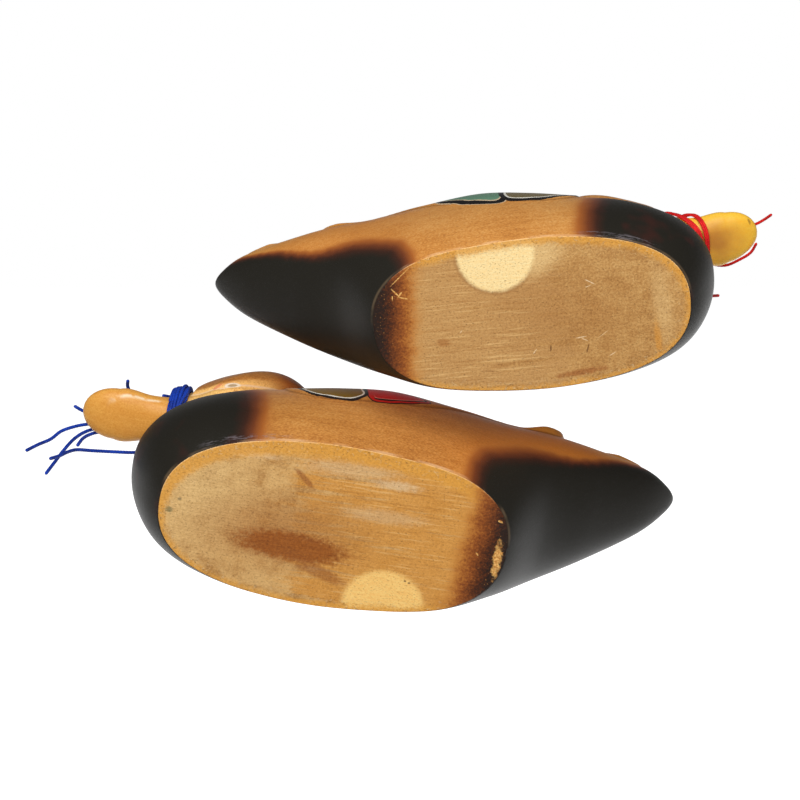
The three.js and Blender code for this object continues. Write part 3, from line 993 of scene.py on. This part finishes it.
def sanded(duck, at):
    """Mottled wood that turns tan and shows its grain towards the rear."""
    colour = ramp(at.streaks * 0.2 + at.mottle * 0.34 + at.specks * 0.6 - 0.07, SANDED)
    rear = fade(at.x + at.mottle * 14, -6, 24)
    colour = mixed(grow(at.mottle, 0.3, 0.6) * duck.faded, colour, FADED)
    golden = grow(at.streaks + rear * 0.16, 0.48, 0.6) * grow(rear + at.rough * 0.3, 0.1, 0.5)
    colour = mixed(golden * 0.8, colour, mixed(at.specks, *duck.tan))
    grain = drawn_out(at.place, 0.06, 1.5, 1.5, 3, 0.6)
    behind = grow(rear, 0.2, 0.8)
    colour = mixed(grow(grain, 0.55, 0.66) * behind * 0.35, colour, DARK_GRAIN)
    return mixed(fade(grain, 0.34, 0.44) * behind * 0.4, colour, PALE_GRAIN)


# %% Stains of the base, and one painted highlight
# Middle x, y, radii, turn, softness, raggedness, share, and the dark and the pale tone.
SCRATCH = (0.8, 0.56, 0.3), (0.93, 0.74, 0.48)
DENT = (0.1, 0.04, 0.01), (0.2, 0.08, 0.02)
PRICK = (0.12, 0.05, 0.02), (0.2, 0.09, 0.03)
BLUE.stains = [
    (34, 3, 16, 18, 0, 0.9, 0.4, 0.65, (0.58, 0.36, 0.13), (0.88, 0.6, 0.27)),
    (11, -3, 24, 11.5, -0.1, 0.95, 0.5, 0.78, (0.3, 0.12, 0.03), (0.52, 0.23, 0.06)),
    (8, -7, 16, 4.6, 0.04, 0.4, 0.9, 0.9, (0.2, 0.045, 0.005), (0.38, 0.11, 0.014)),
    (0, -13, 8, 1.9, 0.32, 0.5, 0.9, 0.65, (0.24, 0.07, 0.015), (0.42, 0.16, 0.04)),
    (7.2, 12.2, 4.2, 0.9, 0.75, 0.5, 1, 0.75, (0.25, 0.08, 0.02), (0.45, 0.17, 0.04)),
    (-4, 16.6, 14, 2.4, -0.03, 0.6, 0.9, 0.6, (0.55, 0.33, 0.14), (0.8, 0.58, 0.32)),
    (-16, 14, 7, 1.5, 0, 0.6, 1, 0.7, (0.6, 0.36, 0.15), (0.82, 0.62, 0.38)),
    (-14, 5, 12, 2.2, 0, 0.7, 1, 0.5, (0.58, 0.36, 0.16), (0.76, 0.54, 0.3)),
    (22, 17, 8, 1.2, 0, 0.5, 0.9, 0.6, (0.7, 0.42, 0.17), (0.86, 0.62, 0.36)),
    (-17.5, -20, 11, 10.4, 0, 0.14, 0.1, 0.97, (0.92, 0.5, 0.13), (0.99, 0.68, 0.24)),
    (40.2, -1.5, 1.1, 0.9, 0.5, 0.5, 0.8, 0.8, (0.16, 0.13, 0.05), (0.32, 0.26, 0.12)),
    (37.9, 1.8, 0.6, 0.5, 0, 0.5, 0.8, 0.7, (0.2, 0.15, 0.07), (0.35, 0.26, 0.12)),
    (-22.2, -12.1, 0.4, 0.3, 0, 0.5, 0.2, 0.8, *PRICK),
    (-23.3, -12.5, 0.4, 0.3, 0, 0.5, 0.2, 0.8, *PRICK),
]
RED.stains = [
    (9, 0, 23, 15, 0.25, 0.9, 0.5, 0.55, (0.3, 0.125, 0.03), (0.5, 0.235, 0.065)),
    (-10.6, -19.3, 12, 12.7, 0, 0.08, 0.06, 0.7, (0.28, 0.13, 0.04), (0.4, 0.19, 0.06)),
    # This paler oval beside the round patch is a painted highlight.
    (0.5, -17.5, 9, 6.5, -0.5, 0.7, 0.8, 0.85, (0.66, 0.4, 0.15), (0.86, 0.6, 0.27)),
    (-10.6, -19.3, 11.2, 11.9, 0, 0.1, 0.1, 0.97, (0.95, 0.65, 0.27), (0.99, 0.8, 0.42)),
    (11, 18.6, 8, 1.1, -0.1, 0.6, 1.2, 0.7, (0.22, 0.055, 0.01), (0.42, 0.14, 0.03)),
    (-27.3, 6.1, 2, 1.4, 0.2, 0.6, 1, 0.6, (0.3, 0.1, 0.02), (0.45, 0.18, 0.04)),
    (31.4, 3.9, 1.2, 0.8, 0, 0.6, 0.9, 0.6, (0.26, 0.12, 0.03), (0.4, 0.18, 0.05)),
    (33.2, 10.5, 1.1, 6, -0.06, 0.6, 0.9, 0.75, (0.55, 0.22, 0.03), (0.72, 0.33, 0.06)),
    (35, 0, 3.2, 13, -0.1, 0.8, 0.8, 0.4, (0.62, 0.38, 0.14), (0.84, 0.58, 0.27)),
    (15.2, -8.2, 1.6, 0.15, 0.55, 0.4, 1.6, 0.8, *SCRATCH),
    (14.6, -7, 0.8, 0.13, -0.3, 0.4, 1.6, 0.8, *SCRATCH),
    (11.3, 8.1, 1.7, 0.16, -0.1, 0.4, 1.8, 0.8, *SCRATCH),
    (12.6, 8.9, 1, 0.13, 0.5, 0.4, 1.8, 0.8, *SCRATCH),
    (18, 7.6, 2, 0.12, -0.6, 0.5, 0.9, 0.6, (0.7, 0.46, 0.22), (0.88, 0.66, 0.38)),
    (-1.8, 11.2, 1, 0.14, -0.9, 0.4, 1.4, 0.7, *SCRATCH),
    (20.1, 13.9, 1.2, 0.14, -0.5, 0.4, 1.4, 0.7, *SCRATCH),
    (-22.1, 3.3, 0.7, 0.15, -0.9, 0.4, 1.2, 0.7, *SCRATCH),
    (2.8, 10.6, 0.25, 1.2, 0.1, 0.4, 0.5, 0.8, *DENT),
    (13.2, 11.6, 0.25, 1.5, 0.3, 0.4, 0.5, 0.8, *DENT),
    (-15.2, 15.9, 2.2, 0.2, 0.1, 0.5, 0.5, 0.6, (0.2, 0.08, 0.02), (0.3, 0.12, 0.03)),
]


def stained_and_highlit(duck, at, colour):
    fibres = drawn_out(at.place, 0.16, 2.6, 2.6, 3, 0.65)
    depth = grow(fibres * 0.5 + at.specks * 0.5, 0.3, 0.7)
    for *place, turn, soft, ragged, share, dark, pale in duck.stains:
        away = oval(at.x, at.y, place[:2], place[2:], turn) + (at.rough - 0.5) * ragged
        lies = fade(away, 1 - soft, 1 + soft * 0.4)
        colour = mixed(lies * share, colour, mixed(depth, dark, pale))
    return colour


# %% The edge of the base
EDGE_TONES = (0.52, 0.18, 0.014), (0.95, 0.5, 0.09)
CHIP, CRACK = (0.82, 0.58, 0.3), (0.24, 0.085, 0.018)
BLUE.band = 1.2, 2.6  # the least width of the orange band, and how much it gains
RED.band = 0.9, 1.1


def edged(duck, at, colour):
    """The orange band along the rim, with its chips and cracks."""
    least, more = duck.band
    wide = grow(at.lit, -6, 12) * more + least
    wide = wide + (at.mottle - 0.5) * 2.5 + (at.rough - 0.5) * 1.6
    band = fade(at.rim - wide + (at.specks - 0.5) * 1.5, -1.1, 1.2)
    colour = mixed(band * 0.85, colour, mixed(at.specks, *EDGE_TONES))
    chips = grow(noise(at.place, 0.8, 5, 0.7), 0.57, 0.63) * fade(at.rim, 1.5, 4.5)
    colour = mixed(chips * 0.45, colour, CHIP)
    cracks = grow(noise(at.place, 0.7, 5, 0.8), 0.58, 0.66) * fade(at.rim, 0.8, 3.5)
    return mixed(cracks * 0.5, colour, CRACK), band, chips, cracks


# %% Its scorched rear, and a painted highlight on the rim
SINGED = [
    (0, (0.66, 0.29, 0.06)), (0.25, (0.5, 0.18, 0.03)), (0.5, (0.27, 0.072, 0.012)),
    (0.74, (0.095, 0.024, 0.006)), (0.92, (0.022, 0.01, 0.006)),
]
# Small places where the black has chipped off: middle, radii and turn.
BLUE.chipped = [
    (-44.5, -2.6, 1.15, 5.6, -0.03), (-43.6, 8.3, 0.8, 0.35, 0.3), (-39.2, -1.6, 0.7, 0.25, 0.9),
]
RED.chipped = [
    (-39.4, -10, 1.7, 0.25, 0.9), (-38.2, -9.4, 1.3, 0.22, -0.9), (-37.4, -8.3, 1.6, 0.2, 0.3),
    (-40.4, -8.6, 0.9, 0.2, 1.6), (-37.8, -14.6, 4.2, 0.14, -0.72),
]
# The last tone is a painted highlight along the rim of the base.
CHIPPED, FRECKLE, BASE_RIM_HIGHLIGHT = (
    ((0.5, 0.19, 0.035), (0.92, 0.55, 0.17)), (0.62, 0.28, 0.07), (0.92, 0.62, 0.3))


def singed(duck, at, colour):
    """Black from behind, chipped and freckled, with a painted highlight along the rim on the side
    towards the light.
    """
    burn = at.x + (at.rough - 0.5) * 2.5 + (at.mottle - 0.5) * 5 + at.y * 0.08
    burn = fade(burn + at.streaks * 3, -46, -28)
    black = ramp(burn + (at.specks - 0.5) * 0.7, SINGED)
    colour = mixed(grow(burn, 0, 0.4), colour, black)
    wood = mixed(grow(at.specks, 0.35, 0.65), *CHIPPED)
    for *place, turn in duck.chipped:
        away = oval(at.x, at.y, place[:2], place[2:], turn)
        away = away + (at.rough - 0.5) * 1.8 + (at.specks - 0.5) * 0.9
        colour = mixed(fade(away, 0.6, 1.15), colour, wood)
    freckles = grow(noise(at.place, 1.7, 2, 0.5), 0.66, 0.7) * grow(burn, 0.45, 0.8)
    colour = mixed(freckles * 0.45, colour, FRECKLE)
    # A painted highlight along the rim on the side towards the light, kept off the burnt part.
    base_rim_highlight = stripe(at.rim, -0.3, 0.16, 0.1) * grow(at.lit, -4, 6)
    base_rim_highlight = base_rim_highlight * grow(at.mottle, 0.4, 0.52) * fade(burn, 0.2, 0.7)
    return mixed(base_rim_highlight * 0.55, colour, BASE_RIM_HIGHLIGHT)


# %% The bare finish
OPEN_PORE = (0.2, 0.08, 0.022)


def bare(duck):
    material, at = start_finish(duck, "bare_wood")
    at.streaks = drawn_out(at.place, 0.035, 0.6, 0.6, 5, 0.65)
    at.mottle = noise(at.place, 0.15, 4, 0.6)
    at.rough = noise(at.place, 0.75, 4, 0.65)
    at.specks = noise(at.place, 1.45, 3, 0.7)
    colour = stained_and_highlit(duck, at, sanded(duck, at))
    colour, band, chips, cracks = edged(duck, at, colour)
    pores = grow(drawn_out(at.place, 1.6, 3.2, 3.2, 2, 0.7), 0.6, 0.68)
    colour = singed(duck, at, mixed(pores * 0.45, colour, OPEN_PORE))
    height = at.streaks * 0.3 + at.specks * 0.7 - pores * 0.8 - cracks * 0.8 + chips * 0.4
    end_finish(at.tree, height, 0.00018, 0.7, {
        "Base Color": colour,
        "Roughness": 0.5 + 0.16 * at.mottle - band * 0.1,
        "Specular IOR Level": 0.22,
        "Coat Weight": 0.02 + band * 0.07,
        "Coat Roughness": 0.3,
    })
    return material


# %% Ducks get their two finishes
for duck in DUCKS:
    piece = ducks[duck.name]
    for finish in (lacquered(duck), bare(duck)):
        piece.data.materials.append(finish)
    print(piece.name, "wears", ", ".join(m.name for m in piece.data.materials))

# %% [markdown]
# ## The finish of the threads
# The thread is a smooth synthetic cord: strong colour with a soft sheen, a little darker in its
# grooves and with fine fibres along it. Its fibres need no pattern of their own direction, since
# at this size a fine noise reads the same.

# %% Coloured thread
BLUE.cord = (0.004, 0.012, 0.12), (0.012, 0.075, 0.62)
RED.cord = (0.38, 0.002, 0.004), (0.99, 0.022, 0.02)


def thread_finish(duck):
    material = bpy.data.materials.new(duck.name + "_cord")
    tree = blank_tree(material)
    place = tree.node("NewGeometry", None, None, "Position")
    fibres = noise(place, 5200, 3, 0.6)
    worn = noise(place, 260, 2)
    end_finish(tree, fibres, 0.00008, 0.6, {
        "Base Color": mixed(grow(fibres * 0.7 + worn * 0.3, 0.3, 0.7), *duck.cord),
        "Roughness": 0.5 + 0.2 * fibres,
        "Specular IOR Level": 0.22,
        "Sheen Weight": 0.04,
        "Sheen Roughness": 0.4,
    })
    return material


for duck in DUCKS:
    finish = thread_finish(duck)
    for piece in threads[duck.name]:
        piece.data.materials.append(finish)
    print(finish.name, "on", len(threads[duck.name]), "pieces")

# %% [markdown]
# ## What rides on what
# The ducks are solid and nothing on them moves, so every piece rides on the one body.

# %% Bodies
for piece in ducks.values():
    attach(piece, "root")
for name, pieces in threads.items():
    for piece in pieces:
        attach(piece, "root")

# %% [markdown]
# ## Floor and light
# The photograph shows the ducks on plain white with soft light from all sides. The camera looks
# from below the floor, so the floor is a sheet that shows only to an eye above it and lets all
# light through. The surroundings look plain white, yet they light the ducks unevenly: strongly
# from beyond, faintly from the camera's side and from the top of the picture. One strong soft
# lamp near the camera and two weak ones give the lacquer its long highlights.

# %% The floor
FLOOR_REACH, FLOOR_LEVEL = 1.6, -0.0004
floor_mesh = bpy.data.meshes.new("floor")
floor_mesh.from_pydata(
    [(FLOOR_REACH * x, FLOOR_REACH * y, FLOOR_LEVEL)
     for x, y in ((-1, -1), (1, -1), (1, 1), (-1, 1))], [], [(0, 1, 2, 3)],
)
floor = placed("floor", floor_mesh)
pale = bpy.data.materials.new("pale_floor")
tree = blank_tree(pale)
back_side = tree.node("NewGeometry", None, None, "Backfacing")
seen = tree.node("LightPath", None, None, "Is Camera Ray")
matt = tree.node("BsdfDiffuse", None, {"Color": (0.82, 0.82, 0.81)})
clear = tree.node("BsdfTransparent")
tree.node("OutputMaterial", None, {"Surface": tree.node(
    "MixShader", None, {0: (1 - back_side) * seen, 1: clear, 2: matt})})
floor_mesh.materials.append(pale)
print("floor", FLOOR_REACH * 2, "m wide")

# %% The white surroundings
NEAR_LIGHT, FAR_LIGHT, TOP_LIGHT = 0.12, 1.8, 0.1  # the camera's side, beyond, and the top
world = bpy.data.worlds.new("white")
bpy.context.scene.world = world
tree = blank_tree(world)
seen = tree.node("LightPath", None, None, "Is Camera Ray")
direction = tree.node("TexCoord", None, None, "Generated")


def facing(axis):
    """How far each direction of the surroundings points along an axis, from -1 to 1."""
    return tree.node("VectorMath", {"operation": "DOT_PRODUCT"}, {0: direction, 1: tuple(axis)},
                     "Value")


beyond = FAR_LIGHT - grow(facing(up), -0.2, 0.3) * (FAR_LIGHT - TOP_LIGHT)
around = grow(facing(back), 0, -0.8) * (beyond - NEAR_LIGHT) + NEAR_LIGHT
tree.node("OutputWorld", None, {"Surface": tree.node(
    "Background", None, {"Color": (1, 1, 1), "Strength": more_of(seen, around)})})


# %% Soft lamps
def soft_lamp(name, across, upwards, behind, size, watts):
    """A round lamp placed by the camera's own directions, aimed at the middle of the frame."""
    data = bpy.data.lights.new(name, "AREA")
    data.shape, data.size, data.energy = "DISK", size, watts
    lamp = placed(name, data)
    lamp.location = LOOK_AT + right * across + up * upwards + back * behind
    lamp.rotation_mode = "QUATERNION"
    lamp.rotation_quaternion = lamp.location.to_track_quat("Z", "Y")


soft_lamp("key", -0.08, 0.3, 0.78, 0.8, 9.6)
soft_lamp("fill", 0.25, -0.75, 0.4, 0.9, 1)
soft_lamp("top", 0.1, 0, -0.9, 1.2, 1)
bpy.context.scene.view_settings.view_transform = "Standard"

# %% [markdown] ## The end
# Nothing in this lesson may outgrow the packed model.
